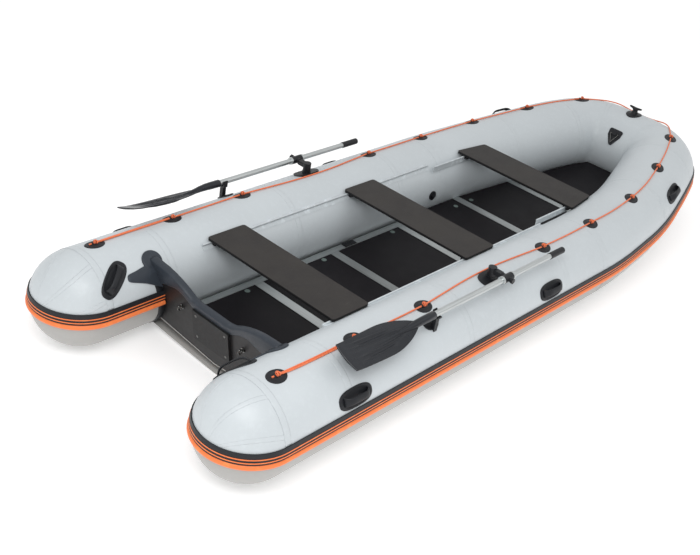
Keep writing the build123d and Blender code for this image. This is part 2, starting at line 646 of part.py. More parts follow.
def oar():
    x = station(OARLOCK_X)
    length = OAR_FORE + OAR_AFT
    tube = Rot(0, 90, 0) * (Cylinder(SHAFT_R, length, align=UP)
                            - Cylinder(SHAFT_R - 1.5, length, align=UP))
    at = Pos(x, OAR_Y, OAR_Z)
    collar = Rot(0, 90, 0) * (Cylinder(SHAFT_R + 6, 12) - Cylinder(SHAFT_R, 14))
    rings = [Pos(d, 0, 0) * collar for d in (-SLEEVE_L / 2 - 7.5, SLEEVE_L / 2 + 7.5)]
    both("oar_shaft", group([at * Pos(-OAR_AFT, 0, 0) * tube, at * rings[0], at * rings[1]]))
    grip_l, grip_r = GRIP
    grip = Rot(0, 90, 0) * (Cylinder(grip_r, grip_l, align=UP)
                            - Cylinder(SHAFT_R, grip_l - 6, align=UP))
    grip = fillet(grip.edges().group_by(Axis.X)[-1], 5)
    both("oar_grip", at * Pos(OAR_FORE - grip_l + 6, 0, 0) * grip)
    both("oar_blade", at * Pos(-OAR_AFT, 0, 0) * Rot(-BLADE_ROLL, 0, 0) * blade())


def blade():
    """Moulded blade aft of its socket: rounded panel, centre spine and four ribs."""
    length, width, thick = BLADE
    half = width / 2
    edge = [(-95, 18), (-135, half * 0.62), (-200, half * 0.93), (-330, half), (-length, half * 0.86)]
    other = [(x, -y) for x, y in reversed(edge)]
    tip = ThreePointArc(edge[-1], (-length - 10, 0), other[0])
    outline = [Spline(*edge), tip, Spline(*other), Line(other[-1], edge[0])]
    body = extrude(make_face(outline), thick / 2, both=True)
    socket = Rot(0, -90, 0) * Cone(20, 12, 190, align=UP)
    neck = Rot(0, 90, 0) * Cylinder(20, 25, align=UP)
    bore = Rot(0, 90, 0) * Cylinder(SHAFT_R, 150, align=UP)
    spine_rib = Pos(-length + 12, 0, 0) * Box(length - 60, 10, 22, align=FORE)
    shape = body + socket + neck + spine_rib
    for y, near in ((-48, 0), (-25, 40), (25, 40), (48, 0)):
        shape = shape + Pos(-length + 50, y, 0) * Box(270 + near, 7, 16, align=FORE)
    return shape - bore


def oar_clips():
    """Cradle under and inboard of the stowed shaft, which lifts or swings out of it."""
    x = station(OARLOCK_X) - CLIP_BACK
    plane = on_tube(x, 58)
    foot = plane * extrude(Ellipse(48, 36), 5) + plane * extrude(Ellipse(48, 36), -12)
    rest = SHAFT_R + 0.8
    bed = Pos(x, OAR_Y, OAR_Z - rest) * Box(26, 2 * SHAFT_R + 6, 7, align=DOWN)
    stem = Pos(x, OAR_Y - 4, OAR_Z - rest - 3) * Box(24, 22, 110, align=DOWN)
    clip = foot + bed + stem - side_tube()
    clip = clip.solids().sort_by(SortBy.VOLUME)[-1]
    bore = Pos(x, OAR_Y, OAR_Z) * Rot(0, 90, 0) * Cylinder(rest, 40)
    hook = Pos(x, OAR_Y - rest, OAR_Z - rest - 7) * Box(26, 7, rest + 20, align=BESIDE)
    hook = hook - bore
    add("oar_clip_hooks", pair(fillet(hook.edges().group_by(Axis.Z)[-1].filter_by(Axis.X), 2)))
    add("oar_clips", pair(clip - bore - hook))


# ---- fittings glued to the tubes -------------------------------------------------------------
def cut_by_tube(shape, x):
    """Trim the underside of a glued piece to the tube that it sits on."""
    y, z, heading = spine(x)
    core = Plane(origin=(x, y, z), z_dir=heading) * Cylinder(TUBE_R - 0.5, 500)
    return shape - core


def eye_patches():
    """Oval pads on the tubes, each with an arch that the lifeline passes under."""
    opening, bar = EYE_ARCH
    pieces = []
    for distance, angle in EYES:
        x = station(distance)
        plane = on_tube(x, angle)
        base = plane * extrude(Ellipse(*EYE_BASE), EYE_T) + plane * extrude(Ellipse(*EYE_BASE), -8)
        arch = plane * Pos(0, 0, ROPE_LIFT) * Rot(0, 90, 0) * Cylinder(opening + bar, 20)
        posts = plane * Box(20, 2 * (opening + bar), ROPE_LIFT, align=UP)
        tunnel = plane * Pos(0, 0, ROPE_LIFT) * Rot(0, 90, 0) * Cylinder(opening - 1, 120)
        pieces.append(cut_by_tube(base + arch + posts, x) - tunnel)
    add("lifeline_patches", group([pair(piece) for piece in pieces]))


def rope_points():
    """Where the lifeline passes each eye on the port side, stern to bow."""
    return [tuple(on_tube(station(distance), angle, lift=ROPE_LIFT).origin) for distance, angle in EYES]


def lifeline():
    side = rope_points()
    tail = Vector(*side[0]) - Vector(30, 0, 0)
    angle, lift = ROPE_PAST_OARLOCK
    inboard = on_tube(station(OARLOCK_X), angle, lift=lift).origin
    front = on_tube_bow(38, lift=ROPE_LIFT)
    corner = Vector(BOW_X + 110, TUBE_HALF_SPAN - ROPE_CORNER_IN, front.Z + 34)
    half = [tuple(tail), *side[:3], tuple(inboard), *side[3:], tuple(corner), (front.X, 75.0, front.Z)]
    full = half + [(x, -y, z) for x, y, z in reversed(half)]
    path = FilletPolyline(*full, radius=bend_radii(full))
    start = Plane(origin=path @ 0, z_dir=path % 0)
    add("lifeline", sweep(start * Circle(ROPE_R), path))


def bend_radii(points):
    """0.45 of the shorter run beside each corner, over the tangent of half its turn."""
    radii = []
    for a, b, c in zip(points, points[1:], points[2:]):
        into, out = Vector(*b) - Vector(*a), Vector(*c) - Vector(*b)
        half_turn = math.radians(into.get_angle(out)) / 2
        radii.append(min(0.45 * min(into.length, out.length) / math.tan(half_turn), 4000))
    return radii


def on_tube_bow(angle, lift=0.0):
    """Point on the cross tube at the bow: angle forward of straight up."""
    a = math.radians(angle)
    reach = TUBE_R + lift
    return Vector(BOW_X + reach * math.sin(a), 0, TUBE_R + BOW_RISE[-1] + reach * math.cos(a))


def handle(distance, angle, turn):
    """Moulded grab handle: oval base and a raised grip with a finger gap."""
    x = station(distance)
    plane = on_tube(x, angle, turn=turn)
    long, wide, thick = HANDLE
    base = plane * extrude(SlotOverall(long, wide), thick)
    skirt = plane * extrude(SlotOverall(long, wide), -14)
    grip_l, grip_w, grip_t = HANDLE_GRIP
    top = plane * Pos(0, 0, thick + HANDLE_GAP) * extrude(SlotOverall(grip_l, grip_w), grip_t)
    post = extrude(Rectangle(22, grip_w - 4), thick + HANDLE_GAP + 1)
    posts = [plane * Pos(s * (grip_l / 2 - 14), 0, 0) * post for s in (1, -1)]
    return cut_by_tube(base + skirt + top + posts[0] + posts[1], x)


def handles():
    add("grab_handles", group([pair(handle(*spot)) for spot in HANDLE_SPOTS]))
    add("bow_handles", pair(handle(*BOW_HANDLE)))


def valves():
    bodies = []
    for name, distance, side in VALVES:
        plane = on_tube(station(distance), 180)
        body = plane * Cylinder(VALVE_R, 7, align=UP)
        neck = plane * Cylinder(VALVE_R - 8, 20, align=DOWN)
        well = plane * Pos(0, 0, 3) * Cylinder(VALVE_R - 9, 20, align=UP)
        cap = plane * Pos(0, 0, 3.4) * Cylinder(VALVE_R - 9.4, 7, align=UP)
        bar = plane * Pos(0, 0, 10) * Box(2 * VALVE_R - 24, 8, 7, align=UP)
        body, cap = body + neck - well, cap + bar
        bodies.append(body if side > 0 else mirrored(body))
        add(f"{name}_valve_cap", cap if side > 0 else mirrored(cap))
    add("valves", group(bodies))


def bow_fittings():
    top = on_tube_bow(0)
    foot = Pos(top.X, 0, top.Z - 14) * extrude(Ellipse(66, 50), 20)
    core = Pos(BOW_X, 0, TUBE_R + BOW_RISE[-1]) * Rot(90, 0, 0) * Cylinder(TUBE_R - 0.5, 400)
    foot = foot - core
    post = Pos(top.X, 0, top.Z + 4) * Cone(24, 16, 34, align=UP)
    bar = Pos(top.X, 0, top.Z + 40) * Rot(90, 0, 0) * Cylinder(11, 92)
    saddle = Pos(top.X, 0, top.Z + 36) * Box(44, 50, 16)
    add("bow_cleat", foot + post + saddle + fillet(bar.edges(), 6))

    spot = on_tube_bow(-60)
    a = math.radians(-60)
    plane = Plane(origin=spot, x_dir=(0, -1, 0), z_dir=(math.sin(a), 0, math.cos(a)))
    shield = make_face(Polyline((-50, 48), (50, 48), (46, 0), (0, -78), (-46, 0), close=True))
    shield = fillet(shield.vertices(), 14)
    base = extrude(plane.offset(-12) * shield, 16) - core
    half_width, depth, bar_r, lug_z, lug_y = BOW_RING
    lug = plane * Pos(0, lug_y, 0) * Box(34, 18, 18, align=UP)
    eye = plane * Pos(0, lug_y, lug_z) * Rot(0, 90, 0) * Cylinder(bar_r + SLIP, 60)
    add("bow_ring_patch", base + lug - eye)
    ring = plane * Pos(0, lug_y, lug_z) * Rot(0, 90, 0) * Cylinder(bar_r, 2 * half_width)
    leg = math.hypot(half_width, depth)
    turn = math.degrees(math.atan2(half_width, depth))
    for s in (1, -1):
        corner = plane * Pos(s * half_width, lug_y, lug_z)
        ring = ring + corner * Rot(90, 0, 0) * Rot(0, -s * turn, 0) * Cylinder(bar_r, leg, align=UP)
        ring = ring + corner * Sphere(bar_r)
    add("bow_ring", ring + plane * Pos(0, lug_y - depth, lug_z) * Sphere(bar_r))


def main():
    chambers()
    rub_strake()
    floor_boards()
    floor_profiles()
    stringers()
    board_caps()
    bottom()
    transom()
    seat_tracks()
    seats()
    oarlock()
    oar()
    oar_clips()
    eye_patches()
    lifeline()
    handles()
    valves()
    bow_fittings()
    os.makedirs("parts", exist_ok=True)
    for name, shape in PARTS.items():
        export_step(shape, f"parts/{name}.step")


main()
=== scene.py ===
"""Looks of an inflatable dinghy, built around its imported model.  Metres; +X bow, +Y port, +Z up."""
import json
import math

import bmesh
import bpy
from mathutils import Matrix, Quaternion, Vector


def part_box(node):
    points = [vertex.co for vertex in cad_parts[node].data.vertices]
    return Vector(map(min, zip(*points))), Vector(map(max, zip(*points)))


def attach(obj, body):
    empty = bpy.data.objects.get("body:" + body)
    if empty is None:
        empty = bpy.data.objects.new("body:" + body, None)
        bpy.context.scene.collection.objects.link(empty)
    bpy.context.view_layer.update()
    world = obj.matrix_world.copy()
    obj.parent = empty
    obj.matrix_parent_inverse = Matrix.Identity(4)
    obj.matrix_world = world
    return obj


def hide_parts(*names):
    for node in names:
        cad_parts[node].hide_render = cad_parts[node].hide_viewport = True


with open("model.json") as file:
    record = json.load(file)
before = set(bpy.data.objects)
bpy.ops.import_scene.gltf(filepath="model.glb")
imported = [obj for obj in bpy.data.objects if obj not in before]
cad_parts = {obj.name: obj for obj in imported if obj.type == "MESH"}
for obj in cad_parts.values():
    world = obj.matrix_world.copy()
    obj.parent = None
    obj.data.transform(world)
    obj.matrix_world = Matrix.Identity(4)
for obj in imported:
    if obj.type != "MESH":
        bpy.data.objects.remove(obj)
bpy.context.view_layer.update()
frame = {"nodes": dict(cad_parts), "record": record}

NODES = frame["nodes"]
HULL = "hull"
UP = Vector((0, 0, 1))


# ---- the line of the tubes, from the frame --------------------------------------------------------
side_low, side_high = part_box("port_air_chamber")
bow_low, bow_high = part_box("bow_air_chamber")
TUBE_R = (side_high.z - side_low.z) / 2
TUBE_Y = (side_high.y + side_low.y) / 2
DOME_X = side_low.x + TUBE_R           # centre of the domed stern ends
CHAMBER_X = side_high.x                # joint between side and bow chambers
BOW_X = bow_high.x - TUBE_R            # centre of the cross tube
DATUM = DOME_X + 0.030                 # the origin of the stations below
BOW_BEND = 2.620                       # station where the side tubes start to close in
BOW_BACK = (0.814, 0.334, 0.0)         # bends of the bow, aft of the cross tube
BOW_BEND_Y = (0.530, 0.402, 0.290)
BOW_RISE = (0.021, 0.081, 0.094)
BEND_R = (2.9, 2.4, 2.7, 0.262)
BEAD_ANGLE = -4.2                      # degrees round the tube: strake's thick bead
STEP = 0.03                            # spacing of the rings along a tube
AROUND = 96                            # points round a tube
TRANSOM_X = DATUM + 0.268              # transom's aft face at the height of the engine cut-out
CUTOUT_Z = 0.340
TRANSOM_LEAN = math.radians(10)
TRANSOM_T = 0.030


def rounded(points, radii, step):
    """Points along straight runs joined by tangent arcs."""
    line = [points[0]]
    for before, corner, after, radius in zip(points, points[1:], points[2:], radii):
        into, out = (corner - before).normalized(), (after - corner).normalized()
        turn = into.angle(out)
        trim = radius * math.tan(turn / 2)
        start = corner - into * trim
        centre = start + (out - into * into.dot(out)).normalized() * radius
        axis = into.cross(out).normalized()
        count = max(2, round(radius * turn / step))
        spoke = start - centre
        line += [centre + Quaternion(axis, turn * i / count) @ spoke for i in range(count + 1)]
    line.append(points[-1])
    filled = [line[0]]
    for a, b in zip(line, line[1:]):
        pieces = max(1, math.ceil((b - a).length / step))
        filled += [a.lerp(b, (i + 1) / pieces) for i in range(pieces)]
    return filled


def tube_line():
    """Port tube's centreline from the dome to the bow's middle."""
    points = [Vector((DOME_X, TUBE_Y, TUBE_R)), Vector((DATUM + BOW_BEND, TUBE_Y, TUBE_R))]
    points += [Vector((BOW_X - back, y, TUBE_R + rise))
               for back, y, rise in zip(BOW_BACK, BOW_BEND_Y, BOW_RISE)]
    points.append(Vector((BOW_X, 0, TUBE_R + BOW_RISE[-1])))
    return rounded(points, BEND_R, STEP)


LINE = tube_line()


def headings(line):
    out = []
    for i in range(len(line)):
        a, b = line[max(i - 1, 0)], line[min(i + 1, len(line) - 1)]
        out.append((b - a).normalized())
    return out


HEADS = headings(LINE)
HEADS[0], HEADS[-1] = Vector((1, 0, 0)), Vector((0, -1, 0))
REACH = [0.0]
for one, two in zip(LINE, LINE[1:]):
    REACH.append(REACH[-1] + (two - one).length)


def at_reach(distance):
    """Centre and heading of the port tube, a distance along its line; the dome's middle is 0."""
    if distance <= 0:
        return LINE[0] + HEADS[0] * distance, HEADS[0]
    for i in range(1, len(REACH)):
        if REACH[i] >= distance:
            share = (distance - REACH[i - 1]) / (REACH[i] - REACH[i - 1])
            return LINE[i - 1].lerp(LINE[i], share), HEADS[i - 1].lerp(HEADS[i], share).normalized()
    return LINE[-1], HEADS[-1]


def reach_of(x):
    """Distance along the line where the tube's centre is at x."""
    for i in range(1, len(LINE)):
        if LINE[i].x >= x:
            share = (x - LINE[i - 1].x) / (LINE[i].x - LINE[i - 1].x)
            return REACH[i - 1] + share * (REACH[i] - REACH[i - 1])
    return REACH[-1]


def ring_point(centre, head, angle, radius):
    """Point on a ring: angle in degrees from the outer side, up and over."""
    out = UP.cross(head).normalized()
    top = head.cross(out)
    a = math.radians(angle)
    return centre + (out * math.cos(a) + top * math.sin(a)) * radius


def on_tube(distance, angle, u=0.0, v=0.0, lift=0.0, side=1):
    """Point above the tube's skin: u along the boat and v round it, from a place on the tube."""
    centre, head = at_reach(distance + u)
    point = ring_point(centre, head, angle + math.degrees(v / TUBE_R), TUBE_R + lift)
    return Vector((point.x, point.y * side, point.z))


# ---- mesh helpers -----------------------------------------------------------------------------------
def make(name, points, faces, body=HULL, smooth=True):
    mesh = bpy.data.meshes.new(name)
    mesh.from_pydata([tuple(p) for p in points], [], faces)
    work = bmesh.new()
    work.from_mesh(mesh)
    bmesh.ops.remove_doubles(work, verts=work.verts, dist=1e-6)
    bmesh.ops.recalc_face_normals(work, faces=work.faces)
    work.to_mesh(mesh)
    work.free()
    for polygon in mesh.polygons:
        polygon.use_smooth = smooth
    piece = bpy.data.objects.new(name, mesh)
    bpy.context.scene.collection.objects.link(piece)
    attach(piece, body)
    return piece


def loft(rings, close_ends=True):
    """Points and faces through rings with the same number of points."""
    count = len(rings[0])
    points = [p for ring in rings for p in ring]
    faces = []
    for i in range(len(rings) - 1):
        for j in range(count):
            k = (j + 1) % count
            faces.append((i * count + j, i * count + k, (i + 1) * count + k, (i + 1) * count + j))
    if close_ends:
        faces.append(tuple(range(count)))
        faces.append(tuple((len(rings) - 1) * count + j for j in reversed(range(count))))
    return points, faces


def join(parts):
    """One mesh's points and faces from several."""
    points, faces = [], []
    for some_points, some_faces in parts:
        base = len(points)
        points += some_points
        faces += [tuple(base + i for i in face) for face in some_faces]
    return points, faces


def mirror(part):
    points, faces = part
    return [Vector((p[0], -p[1], p[2])) for p in points], [tuple(reversed(f)) for f in faces]


def swept(line, section, up=UP):
    """Loft of section(i) -> [(side, height)] along a line, kept level to up."""
    rings = []
    for i, (point, head) in enumerate(zip(line, headings(line))):
        side = up.cross(head).normalized()
        top = head.cross(side)
        rings.append([point + side * a + top * b for a, b in section(i)])
    return loft(rings)


def circle(radius, count):
    return [(radius * math.cos(math.tau * j / count), radius * math.sin(math.tau * j / count))
            for j in range(count)]


def paint(piece, material, slot):
    piece.data.materials.clear()
    piece.data.materials.append(material)
    return piece


def bevel(piece, width, segments=3, angle=30):
    """Rounded edges, applied to the mesh."""
    work = bmesh.new()
    work.from_mesh(piece.data)
    sharp = [e for e in work.edges if len(e.link_faces) == 2
             and e.calc_face_angle() > math.radians(angle)]
    bmesh.ops.bevel(work, geom=sharp, offset=width, segments=segments, profile=0.5,
                    affect="EDGES", clamp_overlap=True)
    work.to_mesh(piece.data)
    work.free()
    return piece


# ---- materials --------------------------------------------------------------------------------------
class Shade:
    """A node material under construction."""

    def __init__(self, name, color, rough, metal=0.0, gloss=0.5):
        self.material = bpy.data.materials.new(name)
        self.material.use_nodes = True
        self.nodes = self.material.node_tree.nodes
        self.links = self.material.node_tree.links
        self.shader = self.nodes["Principled BSDF"]
        self.shader.inputs["Metallic"].default_value = metal
        self.shader.inputs["Roughness"].default_value = rough
        self.shader.inputs["Specular IOR Level"].default_value = gloss
        self.color, self.rough = color, rough
        self.place = self.nodes.new("ShaderNodeTexCoord").outputs["Object"]
        self.height = None

    def add(self, kind, **settings):
        node = self.nodes.new(kind)
        for key, value in settings.items():
            if key in node.inputs:
                node.inputs[key].default_value = value
            else:
                setattr(node, key, value)
        return node

    def scaled(self, scale):
        node = self.add("ShaderNodeMapping")
        node.inputs["Scale"].default_value = scale
        self.links.new(self.place, node.inputs["Vector"])
        return node.outputs["Vector"]

    def noise(self, scale, detail=4.0, rough=0.55, stretch=(1, 1, 1)):
        node = self.add("ShaderNodeTexNoise", Scale=scale, Detail=detail, Roughness=rough)
        self.links.new(self.scaled(stretch), node.inputs["Vector"])
        return node.outputs["Fac"]

    def wave(self, axis, scale, distortion=0.0):
        node = self.add("ShaderNodeTexWave", Scale=scale, Distortion=distortion)
        node.bands_direction = axis
        self.links.new(self.place, node.inputs["Vector"])
        return node.outputs["Fac"]

    def math(self, how, a, b):
        node = self.add("ShaderNodeMath", operation=how)
        for socket, value in zip(node.inputs, (a, b)):
            if isinstance(value, (int, float)):
                socket.default_value = value
            else:
                self.links.new(value, socket)
        return node.outputs[0]

    def ramp(self, value, low, high):
        node = self.add("ShaderNodeMapRange")
        node.inputs["To Min"].default_value = low
        node.inputs["To Max"].default_value = high
        self.links.new(value, node.inputs["Value"])
        return node.outputs[0]

    def vary_color(self, value, other, low=0.35, high=0.65):
        """Mix towards another colour as value goes from low to high."""
        share = self.add("ShaderNodeMapRange")
        share.inputs["From Min"].default_value = low
        share.inputs["From Max"].default_value = high
        self.links.new(value, share.inputs["Value"])
        mix = self.add("ShaderNodeMix", data_type="RGBA")
        self.links.new(share.outputs[0], mix.inputs["Factor"])
        before = self.shader.inputs["Base Color"].links
        if before:
            self.links.new(before[0].from_socket, mix.inputs["A"])
        else:
            mix.inputs["A"].default_value = (*self.color, 1)
        mix.inputs["B"].default_value = (*other, 1)
        self.links.new(mix.outputs["Result"], self.shader.inputs["Base Color"])

    def vary_rough(self, value, spread):
        self.links.new(self.ramp(value, self.rough - spread, self.rough + spread),
                       self.shader.inputs["Roughness"])

    def bump(self, value, depth, strength=1.0):
        """Relief of a depth in metres, on top of what is there."""
        node = self.add("ShaderNodeBump", Strength=strength, Distance=depth)
        self.links.new(value, node.inputs["Height"])
        before = self.shader.inputs["Normal"].links
        if before:
            self.links.new(before[0].from_socket, node.inputs["Normal"])
        self.links.new(node.outputs["Normal"], self.shader.inputs["Normal"])


def tint(color, factor):
    return tuple(min(1.0, c * factor) for c in color)


def coated_fabric(name, color, rough):
    """Coated cloth: a fine crossed weave under a satin skin, with faint handling marks."""
    shade = Shade(name, color, rough)
    shade.vary_color(shade.noise(2.2, 3), tint(color, 0.955))
    shade.vary_color(shade.noise(38, 5, 0.7), tint(color, 1.035), 0.5, 0.8)
    weave = shade.math("MULTIPLY", shade.wave("X", 260), shade.wave("Z", 260))
    shade.bump(weave, 0.00006, 0.5)
    shade.bump(shade.noise(5.0, 2), 0.0016, 0.35)
    shade.vary_rough(shade.noise(14, 5), 0.07)
    shade.shader.inputs["Coat Weight"].default_value = 0.12
    shade.shader.inputs["Coat Roughness"].default_value = 0.35
    return shade.material


def rubber(name, color, rough=0.48, grain=420, gloss=0.34):
    """Moulded rubber or plastic with a fine grain and paler, rubbed places."""
    shade = Shade(name, color, rough, gloss=gloss)
    shade.vary_color(shade.noise(22, 5, 0.65), tint(color, 1.45), 0.52, 0.78)
    shade.bump(shade.noise(grain, 3), 0.00018, 0.6)
    shade.bump(shade.noise(30, 3), 0.0005, 0.3)
    shade.vary_rough(shade.noise(60, 4), 0.09)
    return shade.material


def faced_ply(name, color, other, rough, mesh_scale, gloss, edge):
    """Film-faced plywood: a pressed wire-mesh pattern, faint scuffs and sealed dark edges."""
    shade = Shade(name, color, rough, gloss=gloss)
    shade.vary_color(shade.noise(6, 6, 0.7), other)
    grid = shade.math("MAXIMUM", shade.wave("X", mesh_scale), shade.wave("Y", mesh_scale))
    shade.bump(grid, 0.00025, 0.7)
    shade.vary_color(shade.noise(180, 2, 0.5, (0.15, 1, 1)), tint(other, 1.5), 0.62, 0.9)
    shade.vary_rough(shade.noise(9, 5), 0.08)
    normal = shade.add("ShaderNodeNewGeometry").outputs["Normal"]
    parts = shade.add("ShaderNodeSeparateXYZ")
    shade.links.new(normal, parts.inputs[0])
    side = shade.math("SUBTRACT", 1.0, shade.math("ABSOLUTE", parts.outputs["Z"], 0.0))
    shade.vary_color(side, edge, 0.45, 0.75)
    return shade.material


def painted_board(name, color, rough):
    """Painted plywood with grain that shows through the paint."""
    shade = Shade(name, color, rough, gloss=0.3)
    grain = shade.noise(24, 6, 0.6, (1, 0.08, 1))
    shade.vary_color(grain, tint(color, 1.6))
    shade.bump(grain, 0.0004, 0.4)
    shade.vary_rough(shade.noise(40, 4), 0.08)
    return shade.material


def brushed(name, color, rough, stretch):
    """Drawn metal: fine lines along its length."""
    shade = Shade(name, color, rough, 0.9)
    lines = shade.noise(300, 4, 0.6, stretch)
    shade.vary_color(lines, tint(color, 0.82))
    shade.bump(lines, 0.00008, 0.5)
    shade.vary_rough(shade.noise(12, 4), 0.08)
    return shade.material


def polished(name, color):
    shade = Shade(name, color, 0.22, 1.0)
    shade.vary_color(shade.noise(90, 3), tint(color, 0.8))
    shade.vary_rough(shade.noise(150, 3), 0.07)
    shade.bump(shade.noise(260, 2), 0.00004, 0.5)
    return shade.material


def braided(name, color):
    """Braided cord: fine yarns, with painted shade darkening the gaps between them."""
    shade = Shade(name, color, 0.68)
    yarn_and_gap_shade = shade.noise(900, 2, 0.5)
    # the yarn noise darkens the colour as painted shade between the yarns, and gives the yarns their real relief
    # below
    shade.vary_color(yarn_and_gap_shade, tint(color, 0.72))
    shade.vary_color(shade.noise(120, 3), tint(color, 1.15), 0.5, 0.75)
    shade.bump(yarn_and_gap_shade, 0.0005, 0.8)
    shade.shader.inputs["Sheen Weight"].default_value = 0.25
    return shade.material


PALE = (0.570, 0.612, 0.636)
BLACK_EDGE = (0.008, 0.008, 0.009)
M = {
    "tube_fabric": coated_fabric("tube_fabric", PALE, 0.42),
    # hull fabric: warmer than the tube's grey and much darker; the darkness is partly painted shade of the tubes'
    # undersides
    "hull_fabric": coated_fabric("hull_fabric", (0.40, 0.395, 0.38), 0.47),
    "seam_tape": coated_fabric("seam_tape", tint(PALE, 0.995), 0.43),
    "black_rubber": rubber("black_rubber", (0.010, 0.011, 0.014)),
    "orange_rubber": rubber("orange_rubber", (0.90, 0.215, 0.062), 0.42),
    "floor_board": faced_ply("floor_board", (0.0065, 0.0055, 0.0075), (0.0095, 0.008, 0.010), 0.5, 60, 0.16, BLACK_EDGE),
    "seat_board": faced_ply("seat_board", (0.029, 0.026, 0.025), (0.036, 0.032, 0.029), 0.55, 90, 0.25, BLACK_EDGE),
    "aluminium": brushed("aluminium", (0.55, 0.58, 0.58), 0.40, (1, 0.02, 1)),
    "aluminium_tube": brushed("aluminium_tube", (0.60, 0.63, 0.63), 0.32, (0.02, 1, 1)),
    "transom_board": painted_board("transom_board", (0.0085, 0.008, 0.0085), 0.42),
    "pad_plastic": rubber("pad_plastic", (0.013, 0.013, 0.0135), 0.5, 260, 0.25),
    "slate_moulding": rubber("slate_moulding", (0.030, 0.037, 0.048), 0.44),
    # stainless: far darker than bare steel, as painted shade for the towing eyes low on the transom's shaded face
    "stainless": polished("stainless", (0.16, 0.16, 0.155)),
    "orange_rope": braided("orange_rope", (0.90, 0.19, 0.060)),
    "cap_plastic": rubber("cap_plastic", (0.13, 0.17, 0.16), 0.45),
    "track_pvc": rubber("track_pvc", tint(PALE, 0.97), 0.45, 300),
    "black_plastic": rubber("black_plastic", (0.010, 0.011, 0.0135), 0.42),
    "blade_plastic": rubber("blade_plastic", (0.0075, 0.0095, 0.014), 0.30, 420, 0.42),
}


def finish_cad_nodes():
    """Every CAD node takes the material of its slot."""
    slots = {part["node"]: part["material_slot"] for part in frame["record"]["subparts"]}
    for name, node in NODES.items():
        material = M[slots[name]]
        if name.endswith("oar_shaft") or name == "stringers":
            material = M["aluminium_tube"]
        paint(node, material, slots[name])


# ---- air chambers -------------------------------------------------------------------------------------
def tube_rings(first, last, dome=False):
    """Rings of the port tube between two distances along its line."""
    rings = []
    if dome:
        steps = 14
        for i in range(1, steps):
            a = math.pi / 2 * i / steps
            centre = LINE[0] - HEADS[0] * (TUBE_R * math.cos(a))
            rings.append([ring_point(centre, HEADS[0], 360 * j / AROUND, TUBE_R * math.sin(a))
                          for j in range(AROUND)])
    count = max(2, round((last - first) / STEP))
    for i in range(count + 1):
        centre, head = at_reach(first + (last - first) * i / count)
        rings.append([ring_point(centre, head, 360 * j / AROUND, TUBE_R) for j in range(AROUND)])
    return rings


def lower_faces(piece, slot=1):
    """Faces under the strake's bead take the hull fabric, whose darker grey is partly the cloth's own warmer tone
    and partly painted shade of the tube's underside.
    """
    span = 360 / AROUND
    for polygon in piece.data.polygons:
        c = polygon.center
        mirrored_c = Vector((c.x, abs(c.y), c.z))
        best = min(range(0, len(LINE)), key=lambda i: (LINE[i] - mirrored_c).length_squared)
        height = (mirrored_c.z - LINE[best].z) / TUBE_R
        outer = mirrored_c.y > LINE[best].y or mirrored_c.x > LINE[best].x + TUBE_R * 0.2
        outer = outer or mirrored_c.x < TRANSOM_X
        limit = math.sin(math.radians(BEAD_ANGLE + span / 4))
        if height < limit and (outer or height < -0.6 or mirrored_c.x < DOME_X):
            polygon.material_index = slot


def air_chambers():
    """The three chambers as taut skins: domed sterns, straight sides and the raised bow."""
    end = reach_of(CHAMBER_X)
    side = loft(tube_rings(0, end, dome=True))
    for name, part in (("port", side), ("starboard", mirror(side))):
        piece = make(f"{name}_tube_skin", *part)
        paint(piece, M["tube_fabric"], "tube_fabric")
        piece.data.materials.append(M["hull_fabric"])
        lower_faces(piece)
        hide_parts(f"{name}_air_chamber")
    half = tube_rings(end, REACH[-1])
    other = [[Vector((p.x, -p.y, p.z)) for p in ring] for ring in reversed(half[:-1])]
    piece = make("bow_tube_skin", *loft(half + other))
    paint(piece, M["tube_fabric"], "tube_fabric")
    piece.data.materials.append(M["hull_fabric"])
    lower_faces(piece)
    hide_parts("bow_air_chamber")


def tape_ring(distance, width, low, high, lift=0.00025):
    """A seam tape round the tube between two angles."""
    count = 72
    rings = []
    for i in range(count + 1):
        angle = low + (high - low) * i / count
        rings.append([on_tube(distance, angle, u, 0, h)
                      for u, h in ((-width / 2, 0), (-width / 2 + 0.002, lift),
                                   (width / 2 - 0.002, lift), (width / 2, 0))])
    return loft(rings)


def gore_tape(turn, width=0.022, lift=0.00025):
    """A seam from the joint of the domed end, curving back towards its tip."""
    rings = []
    for i in range(25):
        a = math.pi / 2 * (1 - i / 24 * 0.93)
        centre = LINE[0] - HEADS[0] * (TUBE_R * math.cos(a))
        radius = TUBE_R * math.sin(a)
        half = math.degrees(width / 2 / TUBE_R) * (0.35 + 0.65 * math.sin(a)) / max(math.sin(a), 0.12)
        skew = 16 * math.cos(a)
        rings.append([ring_point(centre, HEADS[0], turn + skew + s * half, radius + h)
                      for s, h in ((-1, 0), (-0.85, lift), (0.85, lift), (1, 0))])
    return loft(rings)


def seams():
    """Tapes over the cloth's seams: round the tubes, on the domed ends and at the bow."""
    parts = []
    upper = (10, 228)
    for x in (0.36, 1.21, 2.06):
        parts.append(tape_ring(reach_of(DATUM + x), 0.034, *upper))
    parts.append(tape_ring(reach_of(CHAMBER_X), 0.050, *upper))
    for share in (0.42, 0.72, 0.90):
        end = reach_of(CHAMBER_X)
        parts.append(tape_ring(end + (REACH[-1] - end) * share, 0.030, *upper))
    parts.append(tape_ring(0.004, 0.034, 12, 168))
    parts += [gore_tape(turn) for turn in (22, 66, 112, 156)]
    piece = make("seam_tapes", *join(parts + [mirror(p) for p in parts]))
    paint(piece, M["seam_tape"], "tube_fabric")


